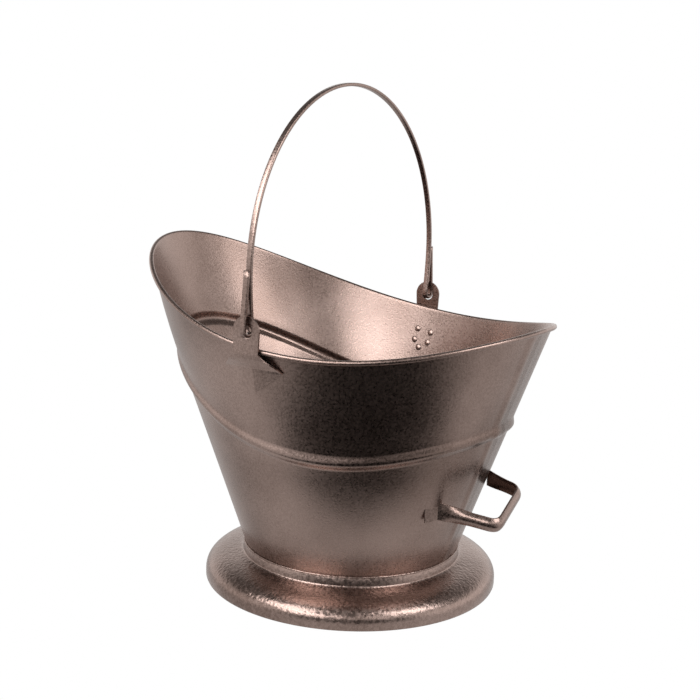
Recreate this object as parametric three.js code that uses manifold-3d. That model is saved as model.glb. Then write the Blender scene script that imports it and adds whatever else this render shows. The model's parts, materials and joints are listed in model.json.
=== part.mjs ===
// Coal scuttle: an oval, flared hod of sheet steel on a round flared foot, with a wired rim,
// a swing bail hooked through two riveted-on ears, and a strap grip at the back.
// Millimetres, +Z up, -X towards the pouring lip, +X towards the seam and the grip.
import * as THREE from "three";
import { mergeVertices } from "three/addons/utils/BufferGeometryUtils.js";
import Module from "manifold-3d";

const wasm = await Module();
wasm.setup();

// ---------------------------------------------------------------- driving sizes
const CLEARANCE = 0.3; // left between two pieces that touch
const SHEET = 1.0; // body and floor sheet

// Foot: a collar round the bottom of the body, flared out to the floor.
const FOOT_SHEET = 1.2;
const COLLAR_RADIUS = 109;
const COLLAR_TOP = 36;
const COLLAR_LOW = 28;
const FOOT_RADIUS = 146.5;
const FOOT_EDGE = 8; // height where the flare turns upright
const FOOT_FLARE_IN = 4.5; // how sharply the flare leaves the collar
const FOOT_FLARE_OUT = 21; // how full the flare's shoulder is
const FOOT_HEM = 6; // inward hem under the edge, which rests on the floor

// Body: round inside the collar, and leaning out into an oval towards the mouth.
const SPIGOT_LOW = 20; // lower end of the body, inside the foot
const LEAN_LONG = 0.4; // outward lean along X, mm per mm of height
const LEAN_SIDE = 0.27; // outward lean along Y
const LEAN_SHIFT = -0.02; // how the oval's centre drifts towards the lip
const LIP_DRAWN_IN = 7; // the sheet of the lip is drawn in a little above the bead
const RIM_FRONT = 330; // height of the pouring lip
const RIM_BACK = 274;
const RIM_LOW = 249; // lowest point of the mouth, seen from the side
const RIM_LOW_X = 50;
const RIM_FRONT_X = -223;
const RIM_BACK_X = 197;

// Swaged bead that runs round the body below the rim.
const BEAD_DROP = 94; // below the rim at the sides
const BEAD_DROP_BACK = 4; // that much lower at the back, and higher at the front
const BEAD_WIDTH = 17;
const BEAD_DEPTH = 2.4;

// Lapped seam down the back.
const SEAM_LAP = 5; // degrees of overlap
const SEAM_FADE = 7.5; // where the lapped sheet has come back to the wall
const SEAM_EDGE = 0.1;

// Wired rim: the sheet is curled outwards round a wire.
const WIRE_RADIUS = 1.1;
const CURL_SWEEP = 290; // degrees

// Floor pan.
const FLOOR_HEIGHT = 31;
const FLOOR_FLANGE = 9;
const FLOOR_CORNER = 2.5;

// Ears: kite-shaped plates spot-welded on the sides, with an eye above the rim.
const HINGE_X = -12;
const HINGE_ABOVE_RIM = 15;
const EAR_SHEET = 1.6;
const EYE_RADIUS = 14;
const EYE_HOLE = 6.2;
const EAR_NECK = 13; // half width where the plate passes the rim
const EAR_WIDTH = 32; // half width at the kite's corners
const EAR_CORNER_DROP = 34; // below the eye's centre
const EAR_TIP_DROP = 54;
const EAR_TIP = 4; // half width of the tip

// Bail: one strip, bent over the mouth and hooked through the ears.
const BAIL_WIDTH = 5.6;
const BAIL_THICK = 3.2;
const BAIL_TOP = 487; // top of the bow
const BAIL_EDGE = 0.6; // chamfer along the strip
const EAR_TO_BAIL = 0.6; // side play of the strip inside the ear
const HOOK_SPREAD = 8.4; // middle of the strip to the middle of its hook, at the eye
const HOOK_LENGTH = 53; // from the eye's centre up to the cut end

// Rear grip: a strap with flat tabs, pressed to a channel where the hand goes.
const GRIP_SHEET = 1.5;
const GRIP_TAB_HEIGHT = 108; // middle of the tabs on the wall
const GRIP_TAB_END = 66; // from the seam round to the end of a tab, along Y
const GRIP_TAB_BEND = 54; // where the strap leaves the wall
const GRIP_TAB_WIDTH = 17;
const GRIP_BAR_X = 172;
const GRIP_BAR_HEIGHT = 92;
const GRIP_BAR_HALF = 29; // half length of the cross bar, to the corners
const GRIP_BAR_WIDTH = 13;
const GRIP_CORNER = 10;
const GRIP_CHANNEL = 3.6; // depth of the channel

// Facets.
const BODY_STEPS = 76;
const FOOT_STEPS = 60;

// ---------------------------------------------------------------- helpers
const { sin, cos, PI, sqrt, max, min } = Math;
const vec = (x, y, z) => new THREE.Vector3(x, y, z);
const rad = THREE.MathUtils.degToRad;
const smooth = (t) => THREE.MathUtils.smoothstep(t, 0, 1);
const mix = THREE.MathUtils.lerp;

// a + b*s + c*t
function along(a, b, s, c, t) {
  const p = a.clone().addScaledVector(b, s);
  return c ? p.addScaledVector(c, t) : p;
}

// A closed skin through rings of points: capped at both ends, or running round into itself.
function loft(rings, round = false) {
  const n = rings[0].length;
  const faces = [];
  const spans = round ? rings.length : rings.length - 1;
  for (let i = 0; i < spans; i++) {
    const a = i * n;
    const b = ((i + 1) % rings.length) * n;
    for (let j = 0; j < n; j++) {
      const k = (j + 1) % n;
      faces.push([a + j, b + j, b + k], [a + j, b + k, a + k]);
    }
  }
  if (!round) {
    const end = (rings.length - 1) * n;
    for (let j = 1; j < n - 1; j++) {
      faces.push([0, j, j + 1], [end, end + j + 1, end + j]);
    }
  }
  return facingOut(rings.flat(), faces);
}

// A closed skin over a grid of front points and back points (rows of equal length).
function plate(front, back) {
  const rings = front.map((row, i) => [...row, ...back[i].toReversed()]);
  const n = front[0].length;
  const faces = [];
  for (let i = 0; i < rings.length - 1; i++) {
    for (let j = 0; j < 2 * n; j++) {
      const a = i * 2 * n;
      const b = a + 2 * n;
      const k = (j + 1) % (2 * n);
      faces.push([a + j, b + j, b + k], [a + j, b + k, a + k]);
    }
  }
  const end = (rings.length - 1) * 2 * n;
  for (let j = 0; j < n - 1; j++) {
    const k = 2 * n - 1 - j;
    faces.push([j, j + 1, k - 1], [j, k - 1, k]);
    faces.push([end + j, end + k - 1, end + j + 1], [end + j, end + k, end + k - 1]);
  }
  return facingOut(rings.flat(), faces);
}

// Geometry of a closed skin, turned inside out if its faces point inwards.
function facingOut(points, faces) {
  const volume = faces.reduce(
    (sum, [a, b, c]) => sum + points[a].dot(points[b].clone().cross(points[c])),
    0,
  );
  const index = faces.flatMap(([a, b, c]) => (volume < 0 ? [a, c, b] : [a, b, c]));
  return new THREE.BufferGeometry().setFromPoints(points).setIndex(index);
}

// A closed profile of radius and height, turned round the upright axis.
function revolve(profile) {
  const outline = THREE.ShapeUtils.isClockWise(profile) ? profile.toReversed() : profile;
  return new THREE.LatheGeometry(outline, FOOT_STEPS).rotateX(PI / 2);
}

function toSolid(geometry) {
  const bare = geometry.clone();
  bare.deleteAttribute("normal");
  bare.deleteAttribute("uv");
  const merged = mergeVertices(bare, 1e-4);
  return new wasm.Manifold(
    new wasm.Mesh({
      numProp: 3,
      vertProperties: merged.attributes.position.array,
      triVerts: new Uint32Array(merged.index.array),
    }),
  );
}

function toGeometry(solid) {
  const mesh = solid.getMesh();
  return new THREE.BufferGeometry()
    .setAttribute("position", new THREE.BufferAttribute(mesh.vertProperties, 3))
    .setIndex(new THREE.BufferAttribute(mesh.triVerts, 1));
}

// ---------------------------------------------------------------- form of the body
const BODY_BASE = COLLAR_RADIUS - FOOT_SHEET - CLEARANCE - SHEET / 2; // middle of the sheet

// Height of the rim over the point x of the mouth: two halves of a parabola that meet at the saddle.
function rimHeight(x) {
  const [end, height] = x < RIM_LOW_X ? [RIM_FRONT_X, RIM_FRONT] : [RIM_BACK_X, RIM_BACK];
  return RIM_LOW + (height - RIM_LOW) * ((x - RIM_LOW_X) / (end - RIM_LOW_X)) ** 2;
}

// Middle of the sheet at a height, at an angle round the oval (0 is the back), drawn in by a share.
function wallPoint(angle, z, drawn = 0) {
  const rise = max(0, z - COLLAR_TOP);
  const inward = LIP_DRAWN_IN * ((1 - cos(angle)) / 2) ** 2 * drawn;
  return vec(
    LEAN_SHIFT * rise + (BODY_BASE + LEAN_LONG * rise - inward) * cos(angle),
    (BODY_BASE + LEAN_SIDE * rise - inward) * sin(angle),
    z,
  );
}

function rimPoint(angle) {
  let z = RIM_LOW;
  for (let i = 0; i < 20; i++) z = rimHeight(wallPoint(angle, z, 1).x);
  return wallPoint(angle, z, 1);
}

const beadHeight = (angle) => rimPoint(angle).z - BEAD_DROP - BEAD_DROP_BACK * cos(angle);

// The wall between the bead and the rim eases in, so its share depends on the height.
function drawnShare(angle, z) {
  const low = beadHeight(angle) + BEAD_WIDTH / 2;
  const high = rimPoint(angle).z;
  return max(0, (z - low) / (high - low)) ** 2;
}

const wall = (angle, z) => wallPoint(angle, z, drawnShare(angle, z));

function wallNormal(angle, z) {
  const round = wall(angle + 1e-3, z).sub(wall(angle - 1e-3, z));
  const up = wall(angle, z + 0.1).sub(wall(angle, z - 0.1));
  return round.cross(up).normalize();
}

// Distance from the X axis to the middle of the side wall, over a point x at height z.
function wallSide(x, z) {
  let angle = PI / 2;
  for (let i = 0; i < 8; i++) {
    const p = wall(angle, z);
    angle += (p.x - x) / (BODY_BASE + LEAN_LONG * (z - COLLAR_TOP));
  }
  return wall(angle, z).y;
}

// Axes of the curl at an angle: its centre, outwards from the sheet, and up along the sheet.
const CURL_RADIUS = WIRE_RADIUS + CLEARANCE + SHEET / 2; // middle of the curled sheet
function curlFrame(angle) {
  const rim = rimPoint(angle);
  const round = rimPoint(angle + 1e-3).sub(rimPoint(angle - 1e-3)).normalize();
  const out = wallNormal(angle, rim.z - 0.2);
  const up = out.clone().cross(round).normalize();
  return { centre: along(rim, out, CURL_RADIUS), out, up };
}

const bodyAngles = [-SEAM_FADE, -SEAM_LAP, -SEAM_EDGE, SEAM_EDGE];
const firstAngle = SEAM_FADE;
const spanAngle = 360 - 2 * SEAM_FADE;
for (let i = 0; i < BODY_STEPS; i++) {
  bodyAngles.push(firstAngle + (spanAngle * i) / BODY_STEPS);
}

// One section of the body: the outer face upwards, round the curl, and back down the inner face.
function bodySection(degrees) {
  const angle = rad(degrees);
  const rim = rimPoint(angle).z;
  const bead = beadHeight(angle);
  const lapped = degrees < 0 && degrees > -SEAM_FADE ? SHEET : 0;
  const outer = [];
  const inner = [];
  const put = (middle, normal, lap) => {
    outer.push(along(middle, normal, SHEET / 2 + lap));
    inner.push(along(middle, normal, -SHEET / 2));
  };
  const putWall = (z, bulge, lap) => {
    const normal = wallNormal(angle, z);
    put(along(wall(angle, z), normal, bulge), normal, lap);
  };
  const flat = vec(cos(angle), sin(angle), 0);
  put(wallPoint(angle, SPIGOT_LOW), flat, 0);
  put(wallPoint(angle, COLLAR_TOP), flat, 0);
  putWall(COLLAR_TOP + 5, 0, lapped);
  const beadSteps = 6;
  for (let i = 0; i <= beadSteps; i++) {
    const t = i / beadSteps;
    putWall(bead + BEAD_WIDTH * (t - 0.5), BEAD_DEPTH * sin(PI * t) ** 2, lapped);
  }
  putWall(mix(bead, rim, 0.6), 0, lapped);
  putWall(rim - 5, 0, lapped);
  const { centre, out, up } = curlFrame(angle);
  const curlSteps = 9;
  for (let i = 0; i <= curlSteps; i++) {
    const turn = rad((CURL_SWEEP * i) / curlSteps);
    const inwards = out.clone().multiplyScalar(cos(turn)).addScaledVector(up, -sin(turn));
    put(along(centre, inwards, -CURL_RADIUS), inwards, 0);
  }
  return [...outer, ...inner.toReversed()];
}

// ---------------------------------------------------------------- pieces of the hod
function bodyShell() {
  return loft(bodyAngles.map(bodySection), true);
}

function rimWire() {
  const sides = 7;
  const rings = bodyAngles.map((degrees) => {
    const { centre, out, up } = curlFrame(rad(degrees));
    return Array.from({ length: sides }, (_, i) => {
      const turn = (2 * PI * i) / sides;
      return along(centre, out, WIRE_RADIUS * cos(turn), up, WIRE_RADIUS * sin(turn));
    });
  });
  return loft(rings, true);
}

// Outer outline of the foot from the collar's top down to the floor, as points of radius and height.
function footOutline() {
  const flare = new THREE.CubicBezierCurve(
    new THREE.Vector2(COLLAR_RADIUS, COLLAR_LOW),
    new THREE.Vector2(COLLAR_RADIUS, COLLAR_LOW - FOOT_FLARE_IN),
    new THREE.Vector2(FOOT_RADIUS, FOOT_EDGE + FOOT_FLARE_OUT),
    new THREE.Vector2(FOOT_RADIUS, FOOT_EDGE),
  );
  return [
    new THREE.Vector2(COLLAR_RADIUS, COLLAR_TOP),
    ...flare.getPoints(11),
    new THREE.Vector2(FOOT_RADIUS, FOOT_SHEET),
  ];
}

// The same outline moved inwards by the sheet.
function insetOutline(outline, inset) {
  return outline.map((p, i) => {
    const before = outline[max(0, i - 1)];
    const after = outline[min(outline.length - 1, i + 1)];
    const dir = after.clone().sub(before).normalize();
    return new THREE.Vector2(p.x + dir.y * inset, p.y - dir.x * inset);
  });
}

function footRing() {
  const outer = footOutline();
  const inner = insetOutline(outer, FOOT_SHEET);
  const profile = [
    ...outer.slice(0, -1),
    new THREE.Vector2(FOOT_RADIUS, 0),
    new THREE.Vector2(FOOT_RADIUS - FOOT_HEM, 0),
    new THREE.Vector2(FOOT_RADIUS - FOOT_HEM, FOOT_SHEET),
    ...inner.toReversed(),
    outer[0].clone(),
  ];
  return revolve(profile);
}

function floorPan() {
  const radius = BODY_BASE - SHEET / 2 - CLEARANCE;
  const low = FLOOR_HEIGHT - FLOOR_FLANGE;
  const corner = (r) =>
    [90, 60, 30, 0].map((turn) => {
      const x = radius - FLOOR_CORNER + r * cos(rad(turn));
      return new THREE.Vector2(x, FLOOR_HEIGHT - FLOOR_CORNER + r * sin(rad(turn)));
    });
  const profile = [
    new THREE.Vector2(0, FLOOR_HEIGHT),
    ...corner(FLOOR_CORNER),
    new THREE.Vector2(radius, low),
    new THREE.Vector2(radius - SHEET, low),
    ...corner(FLOOR_CORNER - SHEET).toReversed(),
    new THREE.Vector2(0, FLOOR_HEIGHT - SHEET),
  ];
  return revolve(profile);
}

// ---------------------------------------------------------------- ears and hinge
const HINGE_Z = rimHeight(HINGE_X) + HINGE_ABOVE_RIM;
const rimAtHinge = rimPoint(PI / 2 + (RIM_LOW_X / 2 - HINGE_X) / RIM_BACK_X);
const EAR_FACE = wallSide(HINGE_X, rimAtHinge.z) + SHEET / 2 + 2 * CURL_RADIUS + CLEARANCE;

// Half width of the ear at a drop below the eye's centre.
function earHalfWidth(drop) {
  if (drop <= 0) return max(0.9, sqrt(max(0, EYE_RADIUS ** 2 - drop ** 2)));
  const neckEnd = HINGE_ABOVE_RIM + CURL_RADIUS;
  if (drop < HINGE_ABOVE_RIM) return mix(EYE_RADIUS, EAR_NECK, smooth(drop / HINGE_ABOVE_RIM));
  if (drop < neckEnd) return EAR_NECK;
  if (drop < EAR_CORNER_DROP) {
    return mix(EAR_NECK, EAR_WIDTH, (drop - neckEnd) / (EAR_CORNER_DROP - neckEnd));
  }
  return mix(EAR_WIDTH, EAR_TIP, (drop - EAR_CORNER_DROP) / (EAR_TIP_DROP - EAR_CORNER_DROP));
}

function ear(side) {
  const rows = [];
  for (const turn of [86, 62, 42, 22, 0]) rows.push(-EYE_RADIUS * sin(rad(turn)));
  const below = [HINGE_ABOVE_RIM, HINGE_ABOVE_RIM + 2 * CURL_RADIUS];
  const steps = 5;
  for (let i = 1; i <= steps; i++) below.push(mix(below[1], EAR_CORNER_DROP, i / steps));
  below.push(mix(EAR_CORNER_DROP, EAR_TIP_DROP, 0.5), EAR_TIP_DROP);
  rows.push(...below);
  const leave = HINGE_ABOVE_RIM + 2 * CURL_RADIUS; // where the plate turns in towards the wall
  const columns = 8;
  const face = (lift) =>
    rows.map((drop) => {
      const z = HINGE_Z - drop;
      const half = earHalfWidth(drop);
      return Array.from({ length: columns + 1 }, (_, i) => {
        const x = HINGE_X + half * ((2 * i) / columns - 1);
        const onWall = wallSide(x, min(z, rimAtHinge.z)) + (SHEET / 2 + CLEARANCE) * 1.15;
        const y = mix(EAR_FACE, onWall, smooth((drop - leave) / (EAR_CORNER_DROP - leave)));
        return vec(x, side * (y + lift), z);
      });
    });
  const blank = toSolid(plate(face(0), face(EAR_SHEET)));
  const drill = new THREE.CylinderGeometry(EYE_HOLE, EYE_HOLE, 20, 24);
  drill.translate(HINGE_X, side * EAR_FACE, HINGE_Z);
  return toGeometry(blank.subtract(toSolid(drill)));
}

// ---------------------------------------------------------------- bail
function bail() {
  const reach = EAR_FACE - EAR_TO_BAIL - BAIL_THICK / 2; // from the middle plane to the strip
  const bowZ = BAIL_TOP - BAIL_THICK / 2 - reach;
  const hookTurn = HOOK_SPREAD / 2;
  const tipY = reach + BAIL_THICK + CLEARANCE;
  const half = []; // points [y, z] from the cut end of the hook to the top of the bow
  half.push([tipY, HINGE_Z + HOOK_LENGTH]);
  half.push([mix(tipY, reach + HOOK_SPREAD, 0.6), mix(HINGE_Z + HOOK_LENGTH, HINGE_Z, 0.6)]);
  const turnSteps = 7;
  for (let i = 0; i <= turnSteps; i++) {
    const turn = -(PI * i) / turnSteps;
    half.push([reach + hookTurn * (1 + cos(turn)), HINGE_Z + hookTurn * (1 + sin(turn))]);
  }
  const bowSteps = 15;
  for (let i = 0; i <= bowSteps; i++) {
    const turn = (PI / 2) * (i / bowSteps);
    half.push([reach * cos(turn), bowZ + reach * sin(turn)]);
  }
  const path = [...half, ...half.slice(0, -1).toReversed().map(([y, z]) => [-y, z])];
  const w = BAIL_WIDTH / 2;
  const t = BAIL_THICK / 2;
  const c = BAIL_EDGE;
  const section = [
    [w, t - c], [w - c, t], [c - w, t], [-w, t - c],
    [-w, c - t], [c - w, -t], [w - c, -t], [w, c - t],
  ];
  const rings = path.map(([y, z], i) => {
    const [y0, z0] = path[max(0, i - 1)];
    const [y1, z1] = path[min(path.length - 1, i + 1)];
    const dir = vec(0, y1 - y0, z1 - z0).normalize();
    const across = vec(0, -dir.z, dir.y);
    return section.map(([a, b]) => along(vec(HINGE_X + a, y, z), across, b));
  });
  return loft(rings);
}

// ---------------------------------------------------------------- rear grip
function rearGrip() {
  const lift = SHEET * 1.5 + CLEARANCE + GRIP_SHEET / 2; // clears the lapped seam too
  const onWall = (y) => {
    const angle = Math.asin(y / (BODY_BASE + LEAN_SIDE * (GRIP_TAB_HEIGHT - COLLAR_TOP)));
    const normal = wallNormal(angle, GRIP_TAB_HEIGHT);
    const up = wall(angle, GRIP_TAB_HEIGHT + 1).sub(wall(angle, GRIP_TAB_HEIGHT)).normalize();
    return { at: along(wall(angle, GRIP_TAB_HEIGHT), normal, lift), up };
  };
  const stations = [];
  const put = (at, up, width, channel) => stations.push({ at, up, width, channel });
  const tab = [-GRIP_TAB_END, -(GRIP_TAB_END + GRIP_TAB_BEND) / 2, -GRIP_TAB_BEND];
  for (const y of tab) put(onWall(y).at, onWall(y).up, GRIP_TAB_WIDTH, 0);
  const foot = onWall(-GRIP_TAB_BEND);
  const barUp = vec(LEAN_LONG, 0, 1).normalize();
  const corner = vec(GRIP_BAR_X, -GRIP_BAR_HALF, GRIP_BAR_HEIGHT);
  const leg = corner.clone().sub(foot.at);
  const legDir = leg.clone().normalize();
  const legSteps = 4;
  const legEnd = 1 - GRIP_CORNER / leg.length();
  for (let i = 1; i <= legSteps; i++) {
    const t = (legEnd * i) / legSteps;
    const up = foot.up.clone().lerp(barUp, t).normalize();
    const width = mix(GRIP_TAB_WIDTH, GRIP_BAR_WIDTH, t);
    put(along(foot.at, leg, t), up, width, GRIP_CHANNEL * min(1, 1.6 * t));
  }
  const bend = new THREE.QuadraticBezierCurve3(
    along(corner, legDir, -GRIP_CORNER),
    corner,
    along(corner, vec(0, 1, 0), GRIP_CORNER),
  );
  for (const t of [0.25, 0.5, 0.75, 1]) put(bend.getPoint(t), barUp, GRIP_BAR_WIDTH, GRIP_CHANNEL);
  const flip = vec(1, -1, 1);
  const other = stations.toReversed().map(({ at, up, width, channel }) => {
    return { at: at.clone().multiply(flip), up: up.clone().multiply(flip), width, channel };
  });
  const all = [...stations, ...other];
  const across = [-1, -0.5, 0, 0.5, 1];
  const front = [];
  const back = [];
  all.forEach(({ at, up, width, channel }, i) => {
    const dir = all[min(all.length - 1, i + 1)].at.clone().sub(all[max(0, i - 1)].at);
    const out = dir.cross(up).normalize();
    const row = (offset) =>
      across.map((q) => {
        const depth = channel * (0.5 - q * q);
        return along(at, up, (q * width) / 2, out, depth + offset);
      });
    front.push(row(GRIP_SHEET / 2));
    back.push(row(-GRIP_SHEET / 2));
  });
  return plate(front, back);
}

// ---------------------------------------------------------------- assembly
const bronze = new THREE.MeshStandardMaterial({ color: 0x8a7268, roughness: 0.42, metalness: 0.85 });
const darkBronze = new THREE.MeshStandardMaterial({ color: 0x6e5a52, roughness: 0.42, metalness: 0.85 });
const steel = new THREE.MeshStandardMaterial({ color: 0xa9a6a2, roughness: 0.35, metalness: 1 });

const pieces = [
  ["body_shell", bodyShell(), bronze],
  ["rim_wire", rimWire(), steel],
  ["floor_pan", floorPan(), bronze],
  ["foot_ring", footRing(), bronze],
  ["ear_left", ear(1), darkBronze],
  ["ear_right", ear(-1), darkBronze],
  ["bail_handle", bail(), darkBronze],
  ["rear_grip", rearGrip(), darkBronze],
];

// The origin is on the floor, in the middle of the whole object's length.
const tip = (angle) => curlFrame(angle).centre.x + cos(angle) * (CURL_RADIUS + SHEET / 2);
const middle = (tip(0) + tip(PI)) / 2;

const scuttle = new THREE.Group();
for (const [name, geometry, material] of pieces) {
  const mesh = new THREE.Mesh(geometry.translate(-middle, 0, 0), material);
  mesh.name = name;
  scuttle.add(mesh);
}

export default scuttle;
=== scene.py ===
# Looks of the coal scuttle: camera, light, floor, finishes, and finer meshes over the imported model.
# Objects are in metres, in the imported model's own frame. The sizes of the pieces are in millimetres,
# with heights above the floor and places along X and Y counted from the middle of the foot.
import json
import math

import bmesh
import bpy
from mathutils import Matrix, Vector

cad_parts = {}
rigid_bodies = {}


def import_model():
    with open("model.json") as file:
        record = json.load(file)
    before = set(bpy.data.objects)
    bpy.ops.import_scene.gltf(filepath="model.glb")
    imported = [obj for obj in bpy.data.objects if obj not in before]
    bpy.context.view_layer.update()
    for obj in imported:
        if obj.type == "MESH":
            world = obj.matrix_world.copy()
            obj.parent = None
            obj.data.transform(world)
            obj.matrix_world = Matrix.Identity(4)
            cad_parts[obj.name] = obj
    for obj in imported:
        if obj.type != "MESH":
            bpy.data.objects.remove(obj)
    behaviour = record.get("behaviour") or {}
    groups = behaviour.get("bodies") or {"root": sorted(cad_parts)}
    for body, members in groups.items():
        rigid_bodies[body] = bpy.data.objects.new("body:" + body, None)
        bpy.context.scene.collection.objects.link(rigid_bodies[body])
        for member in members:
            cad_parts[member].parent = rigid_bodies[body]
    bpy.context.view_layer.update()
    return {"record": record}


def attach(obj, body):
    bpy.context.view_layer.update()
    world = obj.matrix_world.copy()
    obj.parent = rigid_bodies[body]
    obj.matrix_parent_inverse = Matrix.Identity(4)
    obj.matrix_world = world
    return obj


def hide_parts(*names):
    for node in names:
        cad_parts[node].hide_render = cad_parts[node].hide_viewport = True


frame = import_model()

MM = 0.001
FOOT_X = 0.0131  # the foot's centre along X, in metres

# ---------------------------------------------------------------- sizes of the pieces
# Body: one sheet, flared and oval, standing in the collar of the foot.
SHEET = 1.0
WALL_BASE = 107.0  # middle of the sheet at the collar
SPIGOT_LOW = 20.0
LEAN_FRONT = 0.40  # outward lean per mm of height, towards the lip
LEAN_BACK = 0.375
LEAN_SIDE = 0.27
LEAN_SHIFT = -0.02
LIP_DRAWN_IN = 7.0

# Rim: low at the sides, rising to the lip in front and to the seam behind.
RIM_FRONT = 330.0
RIM_BACK = 272.0
RIM_LOW = 249.0
RIM_LOW_X = 50.0
RIM_FRONT_X = -223.0
RIM_BACK_X = 191.0
WIRE_RADIUS = 1.1
CURL_RADIUS = 1.9
CURL_SWEEP = 290.0  # degrees

# Bead swaged round the wall, and the lapped seam down the back (in degrees round the oval).
BEAD_DROP = 94.0
BEAD_DROP_BACK = 4.0
BEAD_WIDTH = 17.0
BEAD_DEPTH = 3.0
SEAM_LAP = 5.0
SEAM_FADE = 7.5
SEAM_RAMP = 0.85  # where the fading lap is cut once more, as a share of SEAM_FADE
SEAM_STEP = 0.15  # half the step at the lapped edge

# Foot: a collar round the body and a flare down to the floor, with its edge turned under.
COLLAR_RADIUS = 109.0
COLLAR_TOP = 36.0
COLLAR_LOW = 28.0
COLLAR_EDGE = 0.4  # the small chamfer round its top
COLLAR_EDGE_DROP = 0.5
FOOT_RADIUS = 146.4
FOOT_EDGE = 6.0
FOOT_SHEET = 1.2
FOOT_HEM = 6.0
FLARE_THROAT = 6.0  # how far the flare's curve runs down from the collar
FLARE_SHOULDER = 21.0  # how far it runs up from the edge
HEM_BEND = ((0.0, 1.2), (0.4, 0.3), (1.0, 0.0))  # inwards from the edge, above the floor
COLLAR_WELD_WIDTH = 1.0
COLLAR_WELD_HEIGHT = 0.9
COLLAR_WELD_IN = 0.5
COLLAR_WELD_UP = 0.1
COLLAR_WELD_RIPPLES = ((23, 0.10, 0), (41, 0.08, 1))  # count, share and phase

# Ears: kite-shaped plates over the rim, each with an eye for the bail.
HINGE_X = -12.0
EYE_HEIGHT = 268.18
EAR_FACE = 169.3  # inner face of the ears above the rim
EAR_SHEET = 1.6
EAR_HALF_WIDTH = 32.0
EAR_NECK = 13.0
EAR_NECK_DROP = 15.0  # from the eye's centre down to the rim
EAR_NECK_LENGTH = 4.0
EAR_CORNER_DROP = 34.0
EAR_TIP_DROP = 54.0
EAR_TIP = 4.0
EAR_FOLD = 3.0
EAR_RIDGE = 2.4  # height of the fold over the wall
EAR_GAP = 0.3
EYE_RADIUS = 14.0
EYE_HOLE = 6.2
WELD_SPOTS = ((-7, 23), (9, 26), (-9, 35), (-3, 43), (7, 37))  # along the ear, below its neck
WELD_LEVELS = ((3.6, 0.2), (2.7, 0.5), (1.7, 0.85), (0.6, 1.0))  # radius and height of each level
WELD_SUNK = 0.2

# Bail: one strip in an upright plane, its ends hooked outwards through the eyes.
BAIL_WIDTH = 5.6
BAIL_THICK = 3.2
BAIL_EDGE = 0.9  # radius of the strip's edges
BAIL_TOP = 487.0
BAIL_SIDE = 167.1  # radius of the bow, to the middle of the strip
BAIL_LEAN_IN = 4.0  # the legs come in by that much towards the eyes
HOOK_SPREAD = 12.2
HOOK_LENGTH = 53.0
HOOK_TIP_GAP = 0.3
HOOK_BULGE = 0.4  # share of the hook's way outwards that eases in and out
HOOK_DEPTH = 0.55  # of a full half circle, under the eye

# Rear grip: it hangs a little askew, so each end has its own place.
GRIP_SHEET = 1.5
GRIP_GAP = 0.2
GRIP_TAB_WIDTH = 17.0
GRIP_TAB_LENGTH = 13.0
GRIP_TAB_DROP = 1.0
GRIP_BAR_WIDTH = 13.0
GRIP_CHANNEL = 3.4
GRIP_TAPER = 26.0  # how far from the wall the tabs' width turns into the bar's
GRIP_TAPER_START = 4.0
GRIP_CHANNEL_RATE = 1.6
GRIP_BEND = 11.0
GRIP_EDGE = 0.4  # radius of its edges
GRIP_EDGE_ANGLE = 40.0  # degrees from which an edge is rounded
GRIP_RIGHT_Y = -50.0
GRIP_RIGHT_HEIGHT = 102.5
GRIP_LEFT_Y = 43.0
GRIP_LEFT_HEIGHT = 113.0
GRIP_RIGHT_CORNER = Vector((176.3, -38.0, 94.2))
GRIP_LEFT_CORNER = Vector((168.0, 30.0, 109.0))

# Fineness of the meshes and of the sums behind them.
ROUND_STEPS = 180
FOOT_STEPS = 240
FLARE_STEPS = 32
COLLAR_WELD_STEPS = 360
LOW_WALL_STEPS = 10
BEAD_STEPS = 20
HIGH_WALL_STEPS = 12
CURL_STEPS = 24
SPIGOT_MARGIN = 1.0
COLLAR_MARGIN = 3.0
RIM_MARGIN = 2.0
EAR_CUTS = (-20, -10, 12, 22)
EAR_CUT_TOP = 8
EAR_CUT_STEP = 3
RIM_TRIES = 20
SIDE_TRIES = 8
SMALL_TURN = 1e-3
SMALL_RISE = 0.1
CURL_SEAT = 0.2  # how far below the rim the wall's slope is taken for the curl

# ---------------------------------------------------------------- view, light and paint
# Camera: degrees, metres, and a lens in mm on a 36 mm sensor.
CAMERA_AZIMUTH = 30.8
CAMERA_ELEVATION = 10.5
CAMERA_ROLL = 2.0
CAMERA_DISTANCE = 1.100
SENSOR_WIDTH = 36
PHOTO_WIDTH = 700  # pixels
FOCAL_PIXELS = 1113.2
AIM_SIDE = -0.0079  # along the view's own right
AIM_HEIGHT = 0.2297
NEAR_CLIP = 0.05

# Studio, as reflections see it. A fade runs from its first value to its second.
WHITE = (1, 1, 1, 1)
STUDIO_TINT = (1.0, 0.985, 0.97, 1)
STUDIO_STRENGTH = 1.15
FRONT_LOSS = 1.05
FRONT_FADE = (0.45, 0.85)
LOW_FADE = (0.40, 0.20)
OVERHEAD_LOSS = 0.98
OVERHEAD_FADE = (0.30, 0.62)
LIGHT_AIM_HEIGHT = 0.16

# Floor, as reflections see it: painted light, a pale glow that stands in for a lit table, with a painted
# dark patch of shade in front of the foot. Places in metres.
FLOOR_HALF = 3.0
FLOOR_PAINTED_GLOW = (1.0, 0.99, 0.98, 1)
FLOOR_PAINTED_SHADE = (0.006, 0.005, 0.005, 1)
FLOOR_GLOW_STRENGTH = 0.72
SHADE_PATCH_FRONT_FADE = (0.185, 0.245)
SHADE_PATCH_SIDE_FADE = (0.46, 0.20)

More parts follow.
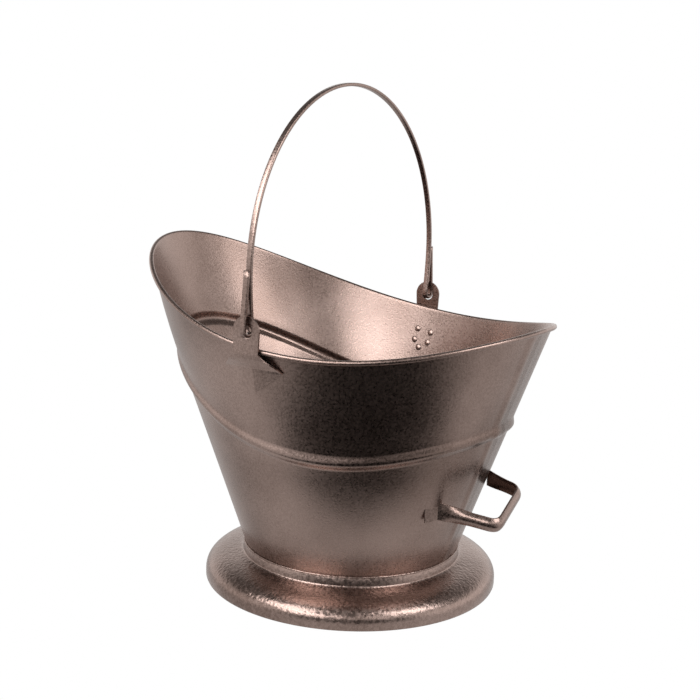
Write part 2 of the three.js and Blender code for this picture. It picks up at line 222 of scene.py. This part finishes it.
# Paint: colours, and how noise is turned into dimples, flake and cloudy patches.
PAINT_DARK = (0.150, 0.102, 0.085, 1)
PAINT_LIGHT = (0.41, 0.305, 0.27, 1)
WARP_SCALE = 0.35  # scales are counts per grain
WARP_REACH = 1.1  # grains
PEEL_SCALE = 0.9
FLAKE_SCALE = 3.0
CLOUD_SCALE = 9.0  # counts per metre
CELL_SMOOTHNESS = 0.7
CELL_HEIGHT = 0.7
PEEL_HEIGHT = 0.8
FLAKE_FADE = (0.36, 0.66)
PEEL_FADE = (0.34, 0.66)
CLOUD_FADE = (0.3, 0.7)
ROUGHNESS_FADE = (0.3, 0.7)
FLAKE_SHARE = 0.25
PEEL_SHARE = 0.25
CLOUD_SHARE = 0.5
SMOOTHER = -0.05
ROUGHER = 0.06


# ---------------------------------------------------------------- camera
def direction(azimuth, elevation):
    """Unit vector from the object, turned from the front (-Y) towards +X and raised."""
    a = math.radians(azimuth)
    e = math.radians(elevation)
    return Vector((math.sin(a) * math.cos(e), -math.cos(a) * math.cos(e), math.sin(e)))


def make_camera():
    back = direction(CAMERA_AZIMUTH, CAMERA_ELEVATION)
    right = direction(CAMERA_AZIMUTH + 90, 0)
    up = back.cross(right)
    roll = math.radians(CAMERA_ROLL)
    turned_right = right * math.cos(roll) + up * math.sin(roll)
    turned_up = up * math.cos(roll) - right * math.sin(roll)
    target = Vector((FOOT_X, 0, AIM_HEIGHT)) + right * AIM_SIDE
    data = bpy.data.cameras.new("camera")
    data.sensor_width = SENSOR_WIDTH
    data.lens = FOCAL_PIXELS / PHOTO_WIDTH * SENSOR_WIDTH
    data.clip_start = NEAR_CLIP
    camera = bpy.data.objects.new("camera", data)
    bpy.context.scene.collection.objects.link(camera)
    place = Matrix((turned_right, turned_up, back)).transposed().to_4x4()
    place.translation = target + back * CAMERA_DISTANCE
    camera.matrix_world = place
    bpy.context.scene.camera = camera


# ---------------------------------------------------------------- nodes
class Nodes:
    """Short calls for building a node tree."""

    def __init__(self, tree):
        self.tree = tree

    def add(self, kind, values=None, **settings):
        node = self.tree.nodes.new("ShaderNode" + kind)
        for key, value in settings.items():
            setattr(node, key, value)
        for key, value in (values or {}).items():
            self.put(node.inputs[key], value)
        return node

    def put(self, socket, value):
        if isinstance(value, bpy.types.NodeSocket):
            self.tree.links.new(value, socket)
        else:
            socket.default_value = value

    def math(self, operation, *values):
        return self.add("Math", dict(enumerate(values)), operation=operation).outputs[0]

    def fade(self, value, limits, results=(0.0, 1.0)):
        """Smooth change from the first result to the second between two limits."""
        values = {"Value": value, "From Min": limits[0], "From Max": limits[1]}
        values.update({"To Min": results[0], "To Max": results[1]})
        node = self.add("MapRange", values, interpolation_type="SMOOTHSTEP")
        return node.outputs["Result"]

    def mix(self, share, first, second):
        node = self.add("Mix", data_type="RGBA")
        self.put(node.inputs["Factor"], share)
        self.put(node.inputs[6], first)
        self.put(node.inputs[7], second)
        return node.outputs[2]

    def noise(self, place, scale, detail):
        return self.add("TexNoise", {"Vector": place, "Scale": scale, "Detail": detail})

    def towards(self, vector, azimuth):
        """How far a place or direction lies towards a level direction."""
        way = direction(azimuth, 0)
        parts = self.add("SeparateXYZ", {"Vector": vector}).outputs
        x_part = self.math("MULTIPLY", parts["X"], way.x)
        y_part = self.math("MULTIPLY", parts["Y"], way.y)
        return self.math("ADD", x_part, y_part)

    def camera_sees(self, others, camera):
        """One shader for the camera and another for everything that light does besides."""
        seen = self.add("LightPath").outputs["Is Camera Ray"]
        values = {0: seen, 1: others.outputs[0], 2: camera.outputs[0]}
        return self.add("MixShader", values).outputs[0]


# ---------------------------------------------------------------- light and floor
def make_world():
    """Plain white to the camera; to reflections a studio, dark in front and overhead."""
    world = bpy.data.worlds.new("studio")
    world.use_nodes = True
    n = Nodes(world.node_tree)
    white = world.node_tree.nodes["Background"]
    n.put(white.inputs["Color"], WHITE)
    n.put(white.inputs["Strength"], 1.0)
    way = n.add("TexCoord").outputs["Generated"]
    height = n.add("SeparateXYZ", {"Vector": way}).outputs["Z"]
    front = n.fade(n.towards(way, CAMERA_AZIMUTH), FRONT_FADE)
    low = n.fade(height, LOW_FADE)
    front_loss = n.math("MULTIPLY", n.math("MULTIPLY", front, low), FRONT_LOSS)
    overhead_loss = n.math("MULTIPLY", n.fade(height, OVERHEAD_FADE), OVERHEAD_LOSS)
    strength = n.math("SUBTRACT", STUDIO_STRENGTH, front_loss)
    strength = n.math("SUBTRACT", strength, overhead_loss)
    studio = n.add("Background", {"Color": STUDIO_TINT, "Strength": strength})
    output = world.node_tree.nodes["World Output"]
    n.put(output.inputs["Surface"], n.camera_sees(studio, white))
    bpy.context.scene.world = world
    bpy.context.scene.view_settings.view_transform = "Standard"


def make_soft_box(name, turn, rise, distance, width, height, radiance):
    """An area light aimed at the body, turned from the camera's side and raised above the floor."""
    aim = Vector((FOOT_X, 0, LIGHT_AIM_HEIGHT))
    way = direction(CAMERA_AZIMUTH + turn, rise)
    data = bpy.data.lights.new(name, "AREA")
    data.shape = "RECTANGLE"
    data.size = width
    data.size_y = height
    data.energy = radiance * math.pi * width * height
    light = bpy.data.objects.new(name, data)
    bpy.context.scene.collection.objects.link(light)
    light.location = aim + way * distance
    light.rotation_euler = (-way).to_track_quat("-Z", "Y").to_euler()


def make_lights():
    make_soft_box("left box", turn=-58, rise=44, distance=1.3, width=0.75, height=0.65, radiance=5.4)
    make_soft_box("right box", turn=56, rise=44, distance=1.3, width=0.70, height=0.65, radiance=5.0)
    make_soft_box("upper box", turn=-32, rise=27, distance=1.7, width=1.15, height=0.45, radiance=5.6)
    make_soft_box("fill box", turn=22, rise=30, distance=1.7, width=0.45, height=0.35, radiance=2.4)


def make_floor_glow_material():
    """Plain white to the camera; to reflections painted light, a pale glow like a lit table, with a
    painted dark patch of shade in front of the foot.
    """
    material = bpy.data.materials.new("floor")
    material.use_nodes = True
    nodes = material.node_tree.nodes
    nodes.remove(nodes["Principled BSDF"])
    n = Nodes(material.node_tree)
    place = n.add("NewGeometry").outputs["Position"]
    # painted shade: a dark patch on the floor in front of the foot, seen only in reflections
    front = n.fade(n.towards(place, CAMERA_AZIMUTH), SHADE_PATCH_FRONT_FADE)
    side = n.math("ABSOLUTE", n.towards(place, CAMERA_AZIMUTH + 90))
    patch = n.math("MULTIPLY", front, n.fade(side, SHADE_PATCH_SIDE_FADE))
    colour = n.mix(patch, FLOOR_PAINTED_GLOW, FLOOR_PAINTED_SHADE)
    # painted light: the floor glows for reflections, standing in for a lit table
    painted_glow = n.add("Emission", {"Color": colour, "Strength": FLOOR_GLOW_STRENGTH})
    white = n.add("Emission", {"Color": WHITE, "Strength": 1.0})
    n.put(nodes["Material Output"].inputs["Surface"], n.camera_sees(painted_glow, white))
    return material


def make_floor():
    s = FLOOR_HALF
    mesh = bpy.data.meshes.new("floor")
    mesh.from_pydata([(-s, -s, 0), (s, -s, 0), (s, s, 0), (-s, s, 0)], [], [(0, 1, 2, 3)])
    mesh.materials.append(make_floor_glow_material())
    floor = bpy.data.objects.new("floor", mesh)
    bpy.context.scene.collection.objects.link(floor)


# ---------------------------------------------------------------- finishes
def hammered_paint(name, grain, relief, roughness):
    """Metallic hammer paint: small smooth dimples, fine bright flake and cloudy patches."""
    material = bpy.data.materials.new(name)
    material.use_nodes = True
    n = Nodes(material.node_tree)
    shader = material.node_tree.nodes["Principled BSDF"]
    place = n.add("TexCoord").outputs["Object"]
    warp = n.noise(place, WARP_SCALE / grain, 2.0).outputs["Color"]
    shift = n.add("VectorMath", {0: warp, 3: grain * WARP_REACH}, operation="SCALE").outputs[0]
    moved = n.add("VectorMath", {0: place, 1: shift}, operation="ADD").outputs[0]
    values = {"Vector": moved, "Scale": 1 / grain, "Smoothness": CELL_SMOOTHNESS}
    cells = n.add("TexVoronoi", values, feature="SMOOTH_F1").outputs["Distance"]
    peel = n.noise(place, PEEL_SCALE / grain, 4.0).outputs["Fac"]
    flake = n.noise(place, FLAKE_SCALE / grain, 3.0).outputs["Fac"]
    cloud = n.noise(place, CLOUD_SCALE, 3.0).outputs["Fac"]
    cell_height = n.math("MULTIPLY", cells, CELL_HEIGHT)
    peel_height = n.math("MULTIPLY", peel, PEEL_HEIGHT)
    height = n.math("ADD", cell_height, peel_height)
    bump = n.add("Bump", {"Height": height, "Strength": 1.0, "Distance": relief})
    n.put(shader.inputs["Normal"], bump.outputs[0])
    fine = n.math("MULTIPLY", n.fade(flake, FLAKE_FADE), FLAKE_SHARE)
    coarse = n.math("MULTIPLY", n.fade(peel, PEEL_FADE), PEEL_SHARE)
    patches = n.fade(cloud, CLOUD_FADE, (0.0, CLOUD_SHARE))
    share = n.math("ADD", n.math("ADD", fine, coarse), patches)
    n.put(shader.inputs["Base Color"], n.mix(share, PAINT_DARK, PAINT_LIGHT))
    n.put(shader.inputs["Metallic"], 1.0)
    limits = (roughness + SMOOTHER, roughness + ROUGHER)
    n.put(shader.inputs["Roughness"], n.fade(peel, ROUGHNESS_FADE, limits))
    return material


def make_materials():
    """One material for each slot of the record; grain and relief are in metres."""
    return {
        "body_paint": hammered_paint("body paint", grain=0.0017, relief=0.00007, roughness=0.30),
        "foot_paint": hammered_paint("foot paint", grain=0.0030, relief=0.00030, roughness=0.27),
        "fitting_paint": hammered_paint("fitting paint", grain=0.0020, relief=0.00010, roughness=0.28),
        "wire_steel": hammered_paint("wire", grain=0.003, relief=0.0001, roughness=0.4),
    }


def finish_cad_nodes():
    """The CAD nodes that stay visible take the material of their slot."""
    for subpart in frame["record"]["subparts"]:
        node = bpy.data.objects[subpart["node"]]
        for slot in node.material_slots:
            slot.material = MATERIALS[subpart["material_slot"]]


# ---------------------------------------------------------------- meshes
def smooth(t):
    t = min(max(t, 0.0), 1.0)
    return t * t * (3 - 2 * t)


def mix(a, b, t):
    return a + (b - a) * t


def run(start, end, steps):
    """Evenly spaced points from a start up to, but without, an end."""
    return [start.lerp(end, i / steps) for i in range(steps)]


def bend(before, corner, after, radius, steps=8):
    """Points of a smooth curve that cuts a corner of a path."""
    start = corner + (before - corner).normalized() * radius
    end = corner + (after - corner).normalized() * radius
    shares = [i / steps for i in range(steps + 1)]
    return [start * (1 - t) ** 2 + corner * 2 * t * (1 - t) + end * t * t for t in shares]


def bezier(points, steps):
    """Points of a flat curve with two ends and two handles."""
    curve = []
    for i in range(steps + 1):
        t = i / steps
        weights = ((1 - t) ** 3, 3 * t * (1 - t) ** 2, 3 * t * t * (1 - t), t ** 3)
        curve.append(tuple(sum(w * p[k] for w, p in zip(weights, points)) for k in (0, 1)))
    return curve


def loft(rings, closed=False):
    """Points and faces between rings of equal length, capped unless the rings close in a loop."""
    n = len(rings[0])
    points = [point for ring in rings for point in ring]
    faces = []
    for i in range(len(rings) if closed else len(rings) - 1):
        a = i * n
        b = (i + 1) % len(rings) * n
        for j in range(n):
            k = (j + 1) % n
            faces.append((a + j, a + k, b + k, b + j))
    if not closed:
        faces.append(tuple(range(n)))
        faces.append(tuple(range(len(points) - n, len(points))))
    return points, faces


def revolve(profile, steps):
    """A profile of radii and heights, turned round the foot's axis."""
    rings = []
    for i in range(steps):
        turn = 2 * math.pi * i / steps
        rings.append([Vector((r * math.cos(turn), r * math.sin(turn), z)) for r, z in profile])
    return loft(rings, closed=True)


def add_piece(name, mesh, body, slot):
    """An object that moves with a body and has the finish of a slot."""
    mesh.materials.append(MATERIALS[slot])
    piece = bpy.data.objects.new(name, mesh)
    bpy.context.scene.collection.objects.link(piece)
    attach(piece, body)
    return piece


def mesh_piece(name, points, faces, body, slot):
    """A smooth-shaded piece from points in millimetres about the foot's centre."""
    mesh = bpy.data.meshes.new(name)
    mesh.from_pydata([(FOOT_X + p[0] * MM, p[1] * MM, p[2] * MM) for p in points], [], faces)
    work = bmesh.new()
    work.from_mesh(mesh)
    bmesh.ops.remove_doubles(work, verts=work.verts, dist=1e-6)
    bmesh.ops.recalc_face_normals(work, faces=work.faces)
    work.to_mesh(mesh)
    work.free()
    mesh.shade_smooth()
    return add_piece(name, mesh, body, slot)


# ---------------------------------------------------------------- form of the body
def rim_height(x):
    end, height = (RIM_FRONT_X, RIM_FRONT) if x < RIM_LOW_X else (RIM_BACK_X, RIM_BACK)
    return RIM_LOW + (height - RIM_LOW) * ((x - RIM_LOW_X) / (end - RIM_LOW_X)) ** 2


def wall_point(angle, z, drawn=0.0):
    """Middle of the sheet at a height, at an angle round the oval (0 is the back)."""
    rise = max(0.0, z - COLLAR_TOP)
    inward = LIP_DRAWN_IN * ((1 - math.cos(angle)) / 2) ** 2 * drawn
    lean = mix(LEAN_FRONT, LEAN_BACK, smooth(math.cos(angle)))
    x = LEAN_SHIFT * rise + (WALL_BASE + lean * rise - inward) * math.cos(angle)
    y = (WALL_BASE + LEAN_SIDE * rise - inward) * math.sin(angle)
    return Vector((x, y, z))


def rim_point(angle):
    """Where the wall meets the rim's height, which itself depends on the place."""
    z = RIM_LOW
    for _ in range(RIM_TRIES):
        z = rim_height(wall_point(angle, z, 1).x)
    return wall_point(angle, z, 1)


def bead_height(angle, rim):
    return rim.z - BEAD_DROP - BEAD_DROP_BACK * math.cos(angle)


def wall(angle, z, rim=None):
    """Middle of the sheet, drawn in towards the lip above the bead."""
    rim = rim or rim_point(angle)
    low = bead_height(angle, rim) + BEAD_WIDTH / 2
    return wall_point(angle, z, max(0.0, (z - low) / (rim.z - low)) ** 2)


def wall_normal(angle, z):
    across = wall(angle + SMALL_TURN, z) - wall(angle - SMALL_TURN, z)
    rising = wall(angle, z + SMALL_RISE) - wall(angle, z - SMALL_RISE)
    return across.cross(rising).normalized()


def back_wall(y, z):
    """Point and outward normal of the back wall's middle over a distance y from the X axis."""
    angle = math.asin(max(-1.0, min(1.0, y / wall(math.pi / 2, z).y)))
    return wall(angle, z), wall_normal(angle, z)


def side_wall(x, z, side):
    """Point and outward normal of the side wall over a point x."""
    angle = math.pi / 2
    for _ in range(SIDE_TRIES):
        angle += (wall(angle, z).x - x) / (WALL_BASE + LEAN_FRONT * (z - COLLAR_TOP))
    return wall(side * angle, z), wall_normal(side * angle, z)


def curl_frame(angle):
    """Centre of the curled rim, with the directions out of the wall and up along it."""
    rim = rim_point(angle)
    along = (rim_point(angle + SMALL_TURN) - rim_point(angle - SMALL_TURN)).normalized()
    out = wall_normal(angle, rim.z - CURL_SEAT)
    up = out.cross(along).normalized()
    return rim + out * CURL_RADIUS, out, up


def body_angles():
    """Degrees round the oval: close together over the lapped seam, then even."""
    seam = [-SEAM_FADE, -SEAM_FADE * SEAM_RAMP, -SEAM_LAP, -SEAM_STEP, SEAM_STEP]
    span = 360 - 2 * SEAM_FADE
    return seam + [SEAM_FADE + span * i / ROUND_STEPS for i in range(ROUND_STEPS)]


def body_heights(bead, rim):
    """Heights of a section: wall, bead, wall up to the curl."""
    bead_low = bead - BEAD_WIDTH / 2
    bead_high = bead + BEAD_WIDTH / 2
    low = [mix(COLLAR_TOP + COLLAR_MARGIN, bead_low, i / LOW_WALL_STEPS) for i in range(LOW_WALL_STEPS)]
    middle = [mix(bead_low, bead_high, i / BEAD_STEPS) for i in range(BEAD_STEPS + 1)]
    steps = range(1, HIGH_WALL_STEPS + 1)
    high = [mix(bead_high, rim.z - RIM_MARGIN, i / HIGH_WALL_STEPS) for i in steps]
    return low + middle + high


def body_section(degrees):
    """One closed section of the sheet, from the collar up to the end of the curl and back."""
    angle = math.radians(degrees)
    rim = rim_point(angle)
    bead = bead_height(angle, rim)
    lap = SHEET if -SEAM_FADE < degrees < 0 else 0.0
    outer = []
    inner = []

    def put(middle, normal, extra=0.0):
        outer.append(middle + normal * (SHEET / 2 + extra))
        inner.append(middle - normal * (SHEET / 2))

    level = Vector((math.cos(angle), math.sin(angle), 0))
    put(wall_point(angle, SPIGOT_LOW), level)
    put(wall_point(angle, COLLAR_TOP - SPIGOT_MARGIN), level)
    for z in body_heights(bead, rim):
        t = (z - bead) / BEAD_WIDTH + 0.5
        bulge = BEAD_DEPTH * math.sin(math.pi * t) ** 2 if 0 < t < 1 else 0.0
        normal = wall_normal(angle, z)
        put(wall(angle, z, rim) + normal * bulge, normal, lap)
    centre, out, up = curl_frame(angle)
    for i in range(CURL_STEPS + 1):
        turn = math.radians(CURL_SWEEP * i / CURL_STEPS)
        inwards = out * math.cos(turn) - up * math.sin(turn)
        put(centre - inwards * CURL_RADIUS, inwards)
    return outer + inner[::-1]


# ---------------------------------------------------------------- body and foot
def make_body():
    rings = [body_section(degrees) for degrees in body_angles()]
    piece = mesh_piece("body_sheet", *loft(rings, closed=True), "root", "body_paint")
    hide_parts("body_shell")


def make_rim_wire():
    turns = [2 * math.pi * i / 12 for i in range(12)]
    rings = []
    for degrees in body_angles():
        centre, out, up = curl_frame(math.radians(degrees))
        rings.append([centre + (out * math.cos(t) + up * math.sin(t)) * WIRE_RADIUS for t in turns])
    piece = mesh_piece("curled_in_wire", *loft(rings, closed=True), "root", "wire_steel")
    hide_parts("rim_wire")


def make_foot():
    """Collar, flare and hem as one turned profile."""
    collar_end = (COLLAR_RADIUS, COLLAR_LOW)
    throat = (COLLAR_RADIUS, COLLAR_LOW - FLARE_THROAT)
    shoulder = (FOOT_RADIUS, FOOT_EDGE + FLARE_SHOULDER)
    edge = (FOOT_RADIUS, FOOT_EDGE)
    flare = bezier((collar_end, throat, shoulder, edge), FLARE_STEPS)
    outer = [(COLLAR_RADIUS - COLLAR_EDGE, COLLAR_TOP), (COLLAR_RADIUS, COLLAR_TOP - COLLAR_EDGE_DROP)]
    outer += flare
    outer += [(FOOT_RADIUS - inwards, z) for inwards, z in HEM_BEND]
    inner = [(COLLAR_RADIUS - FOOT_SHEET, COLLAR_TOP)]
    inner += [(r - FOOT_SHEET, z - FOOT_SHEET / 2) for r, z in flare[1:-1]]
    inner += [(FOOT_RADIUS - FOOT_SHEET, FOOT_SHEET + 1), (FOOT_RADIUS - FOOT_HEM, FOOT_SHEET)]
    inner += [(FOOT_RADIUS - FOOT_HEM, 0.0)]
    shape = revolve(outer + inner[::-1], FOOT_STEPS)
    piece = mesh_piece("flared_foot", *shape, "root", "foot_paint")
    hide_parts("foot_ring")


def make_collar_weld():
    """The low, slightly uneven fillet that closes the collar's top edge against the wall."""
    rings = []
    for i in range(COLLAR_WELD_STEPS):
        turn = 2 * math.pi * i / COLLAR_WELD_STEPS
        ripples = [share * math.sin(count * turn + phase) for count, share, phase in COLLAR_WELD_RIPPLES]
        swell = 1 + sum(ripples)
        ring = []
        for k in range(8):
            a = 2 * math.pi * k / 8
            r = COLLAR_RADIUS - COLLAR_WELD_IN + COLLAR_WELD_WIDTH * swell * math.cos(a)
            z = COLLAR_TOP + COLLAR_WELD_UP + COLLAR_WELD_HEIGHT * swell * math.sin(a)
            ring.append(Vector((r * math.cos(turn), r * math.sin(turn), z)))
        rings.append(ring)
    mesh_piece("collar_weld", *loft(rings, closed=True), "root", "foot_paint")


# ---------------------------------------------------------------- rear grip
def path_tangent(path, i):
    return (path[min(i + 1, len(path) - 1)] - path[max(i - 1, 0)]).normalized()


def strap_ring(at, tangent, width, channel, steps=10):
    """Cross section of the strap: its outer face crowned by a channel's depth."""
    upright = Vector((0, 0, 1))
    up = (upright - tangent * upright.dot(tangent)).normalized()
    out = tangent.cross(up)
    front = []
    back = []
    for i in range(steps + 1):
        s = 2 * i / steps - 1
        middle = at + up * (s * width / 2) + out * channel * (0.5 - s * s)
        front.append(middle + out * GRIP_SHEET / 2)
        back.append(middle - out * GRIP_SHEET / 2)
    return front + back[::-1]


def grip_seat(y, height):
    """Middle of the strap where it lies on the back wall."""
    point, normal = back_wall(y, height)
    return point + normal * (SHEET / 2 + GRIP_SHEET / 2 + GRIP_GAP)


def make_grip():
    """One strap: tab, leg, cross bar, leg, tab."""
    right_bend = grip_seat(GRIP_RIGHT_Y, GRIP_RIGHT_HEIGHT)
    left_bend = grip_seat(GRIP_LEFT_Y, GRIP_LEFT_HEIGHT)
    right_end = grip_seat(GRIP_RIGHT_Y - GRIP_TAB_LENGTH, GRIP_RIGHT_HEIGHT - GRIP_TAB_DROP)
    left_end = grip_seat(GRIP_LEFT_Y + GRIP_TAB_LENGTH, GRIP_LEFT_HEIGHT - GRIP_TAB_DROP)
    right_turn = bend(right_bend, GRIP_RIGHT_CORNER, GRIP_LEFT_CORNER, GRIP_BEND)
    left_turn = bend(GRIP_RIGHT_CORNER, GRIP_LEFT_CORNER, left_bend, GRIP_BEND)
    path = run(right_end, right_bend, 2)
    path += run(right_bend, right_turn[0], 6)
    path += right_turn[:-1]
    path += run(right_turn[-1], left_turn[0], 5)
    path += left_turn[:-1]
    path += run(left_turn[-1], left_bend, 6)
    path += run(left_bend, left_end, 2)
    path.append(left_end)
    rings = []
    for i, at in enumerate(path):
        reach = min(1.0, max(0.0, (at.x - left_bend.x + GRIP_TAPER_START) / GRIP_TAPER))
        width = mix(GRIP_TAB_WIDTH, GRIP_BAR_WIDTH, reach)
        on_tab = i < 2 or i >= len(path) - 2
        channel = 0.0 if on_tab else GRIP_CHANNEL * smooth(reach * GRIP_CHANNEL_RATE)
        rings.append(strap_ring(at, path_tangent(path, i), width, channel))
    piece = mesh_piece("strap_grip", *loft(rings), "root", "fitting_paint")
    edges = piece.modifiers.new("rounds", "BEVEL")
    edges.width = GRIP_EDGE * MM
    edges.segments = 2
    edges.angle_limit = math.radians(GRIP_EDGE_ANGLE)
    edges.harden_normals = True
    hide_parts("rear_grip")


# ---------------------------------------------------------------- bail
def bail_half():
    """Distances out and heights along one side: hook's tip, bend under the eye, leg, bow."""
    centre = BAIL_TOP - BAIL_THICK / 2 - BAIL_SIDE
    at_eye = BAIL_SIDE - BAIL_LEAN_IN
    tip = BAIL_SIDE + BAIL_THICK + HOOK_TIP_GAP
    half = []
    for i in range(9):
        t = i / 8
        y = mix(tip, at_eye + HOOK_SPREAD, mix(t, smooth(t), HOOK_BULGE))
        half.append((y, EYE_HEIGHT + HOOK_LENGTH * (1 - t)))
    for i in range(1, 13):
        turn = math.pi * i / 12
        y = at_eye + HOOK_SPREAD / 2 * (1 + math.cos(turn))
        half.append((y, EYE_HEIGHT - HOOK_SPREAD / 2 * HOOK_DEPTH * math.sin(turn)))
    for i in range(1, 10):
        t = i / 10
        y = mix(at_eye, BAIL_SIDE, math.sin(math.pi / 2 * t))
        half.append((y, mix(EYE_HEIGHT, centre, t)))
    for i in range(41):
        turn = math.pi / 2 * i / 40
        half.append((BAIL_SIDE * math.cos(turn), centre + BAIL_SIDE * math.sin(turn)))
    return half


def strip_section():
    """The strip's cross section with rounded edges, as distances across and out."""
    section = []
    for quarter, (side, face) in enumerate(((1, 1), (-1, 1), (-1, -1), (1, -1))):
        for step in range(4):
            a = math.radians(90 * quarter + 30 * step)
            across = side * (BAIL_WIDTH / 2 - BAIL_EDGE) + BAIL_EDGE * math.cos(a)
            out = face * (BAIL_THICK / 2 - BAIL_EDGE) + BAIL_EDGE * math.sin(a)
            section.append((across, out))
    return section


def make_bail():
    half = bail_half()
    whole = half + [(-y, z) for y, z in half[-2::-1]]
    path = [Vector((HINGE_X, y, z)) for y, z in whole]
    sideways = Vector((1, 0, 0))
    rings = []
    for i, at in enumerate(path):
        outwards = path_tangent(path, i).cross(sideways)
        rings.append([at + sideways * across + outwards * out for across, out in strip_section()])
    piece = mesh_piece("bail_strip", *loft(rings), "bail", "fitting_paint")
    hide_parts("bail_handle")


# ---------------------------------------------------------------- ears
def ear_outline():
    """Outline of an ear as distances along it and depths below the eye's centre."""
    turns = [math.radians(t) for t in range(85, -1, -8)]
    half = [(EYE_RADIUS * math.cos(t), -EYE_RADIUS * math.sin(t)) for t in turns]
    half.append((EAR_NECK, EAR_NECK_DROP))
    half.append((EAR_NECK, EAR_NECK_DROP + EAR_NECK_LENGTH))
    half.append((EAR_HALF_WIDTH, EAR_CORNER_DROP))
    half.append((EAR_TIP, EAR_TIP_DROP))
    return half + [(-x, down) for x, down in reversed(half)]


def flat_ear():
    """The punched plate, filled and then cut across so that it can bend."""
    turns = [2 * math.pi * k / 32 for k in range(32)]
    hole = [(EYE_HOLE * math.cos(t), EYE_HOLE * math.sin(t)) for t in turns]
    work = bmesh.new()
    for loop in (ear_outline(), hole):
        corners = [work.verts.new((x, down, 0)) for x, down in loop]
        for a, b in zip(corners, corners[1:] + corners[:1]):
            work.edges.new((a, b))
    bmesh.ops.triangle_fill(work, edges=work.edges[:], use_beauty=True)
    cuts = [((x, 0, 0), (1, 0, 0)) for x in (EAR_FOLD,) + EAR_CUTS]
    cuts += [((0, down, 0), (0, 1, 0)) for down in range(EAR_CUT_TOP, int(EAR_TIP_DROP), EAR_CUT_STEP)]
    for place, normal in cuts:
        everything = work.verts[:] + work.edges[:] + work.faces[:]
        bmesh.ops.bisect_plane(work, geom=everything, plane_co=place, plane_no=normal)
    return work


def bent_ear_place(x, down, side):
    """Where a point of the flat plate goes: upright over the rim, then down along the wall."""
    z = EYE_HEIGHT - down
    leave = EAR_NECK_DROP + 2 * CURL_RADIUS
    turn_in = smooth((down - leave) / (EAR_CORNER_DROP - leave))
    at, normal = side_wall(HINGE_X + x, min(z, EYE_HEIGHT - EAR_NECK_DROP), side)
    reach = max(0.0, 1 - abs(x - EAR_FOLD) / EAR_HALF_WIDTH)
    on_wall = abs(at.y) + (SHEET / 2 + EAR_GAP) / abs(normal.y) + EAR_RIDGE * reach * turn_in
    y = side * mix(EAR_FACE, on_wall, turn_in)
    return FOOT_X + (HINGE_X + x) * MM, y * MM, z * MM


def make_ear(side, name, node):
    """Kite-shaped plate with a punched eye, folded down its middle, flat against the curl."""
    work = flat_ear()
    for vertex in work.verts:
        vertex.co = bent_ear_place(vertex.co.x, vertex.co.y, side)
    bmesh.ops.recalc_face_normals(work, faces=work.faces)
    mesh = bpy.data.meshes.new(name)
    work.to_mesh(mesh)
    work.free()
    if sum(face.normal.y * side for face in mesh.polygons) < 0:
        mesh.flip_normals()
    piece = add_piece(name, mesh, "root", "fitting_paint")
    sheet = piece.modifiers.new("sheet", "SOLIDIFY")
    sheet.thickness = EAR_SHEET * MM
    sheet.offset = 1
    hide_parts(node)


def spot_weld(at, inwards):
    """A low dome on the inner face of the wall."""
    tangent = (Vector((1, 0, 0)) - inwards * inwards.x).normalized()
    across = inwards.cross(tangent)
    turns = [2 * math.pi * k / 14 for k in range(14)]
    rings = []
    for radius, height in WELD_LEVELS:
        centre = at + inwards * (SHEET / 2 - WELD_SUNK + height)
        rings.append([centre + (tangent * math.cos(t) + across * math.sin(t)) * radius for t in turns])
    return loft(rings)


def make_spot_welds():
    """Small dimples pressed through by the welding points, inside the wall behind each ear."""
    points = []
    faces = []
    for side in (-1, 1):
        for along, drop in WELD_SPOTS:
            x = HINGE_X + EAR_FOLD + along
            at, normal = side_wall(x, EYE_HEIGHT - EAR_NECK_DROP - drop, side)
            dome_points, dome_faces = spot_weld(at, -normal)
            base = len(points)
            points += dome_points
            faces += [tuple(base + corner for corner in face) for face in dome_faces]
    mesh_piece("ear_spot_welds", points, faces, "root", "body_paint")


# ---------------------------------------------------------------- the scene
MATERIALS = make_materials()
make_camera()
make_world()
make_floor()
finish_cad_nodes()
make_body()
make_rim_wire()
make_foot()
make_collar_weld()
make_grip()
make_bail()
make_ear(1, "left_ear_plate", "ear_left")
make_ear(-1, "right_ear_plate", "ear_right")
make_spot_welds()
make_lights()
